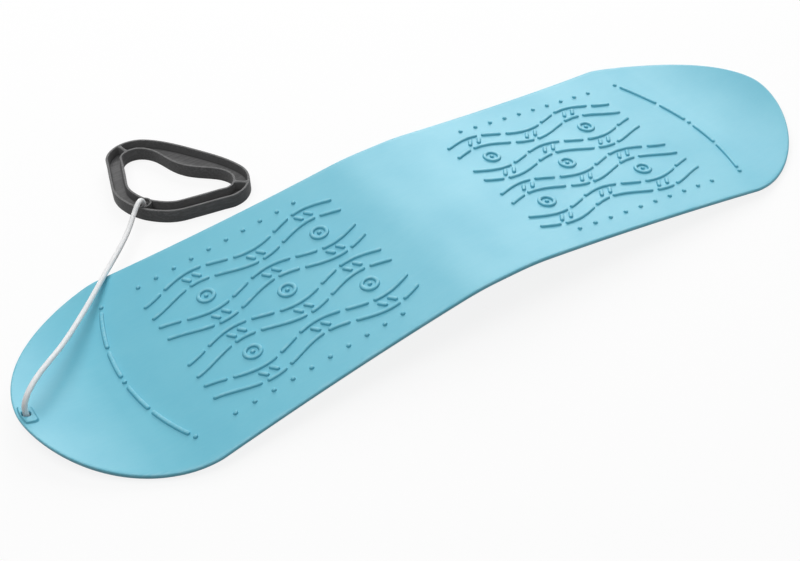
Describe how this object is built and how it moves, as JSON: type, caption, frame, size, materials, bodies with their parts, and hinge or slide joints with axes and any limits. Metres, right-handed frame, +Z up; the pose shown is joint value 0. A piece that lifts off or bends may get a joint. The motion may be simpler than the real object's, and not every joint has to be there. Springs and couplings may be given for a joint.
{
  "type": "snowboard",
  "caption": "One-piece moulded plastic snowboard with a raised grip relief, a tow rope knotted through the nose and a moulded pull handle.",
  "frame": {"origin": "the middle of the deck's flat centre, on its upper skin", "axes": "+X along the board from the nose (at -X) to the tail, +Y across the board towards the side where the handle lies, +Z up"},
  "size_m": [0.72, 0.381, 0.0373],
  "materials": {
    "deck_plastic": "satin moulded polyethylene, light blue",
    "handle_plastic": "satin moulded polypropylene, dark grey",
    "rope_braid": "white braided cord"
  },
  "bodies": {
    "board": {"deck": "deck_plastic"},
    "tow_rope": {"rope": "rope_braid", "nose_knot": "rope_braid", "handle_knot": "rope_braid"},
    "handle": {"pull_handle": "handle_plastic"}
  },
  "joints": [
    {"name": "rope_swing", "type": "hinge", "parent": "board", "child": "tow_rope", "pos_m": [-0.3535, 0, -0.02], "axis": [0, 0, 1], "range_deg": [0, 270]},
    {"name": "handle_turn", "type": "hinge", "parent": "tow_rope", "child": "handle", "pos_m": [-0.1785, 0.1784, -0.026], "axis": [0, 0, 1], "range_deg": [-25, 60]}
  ]
}
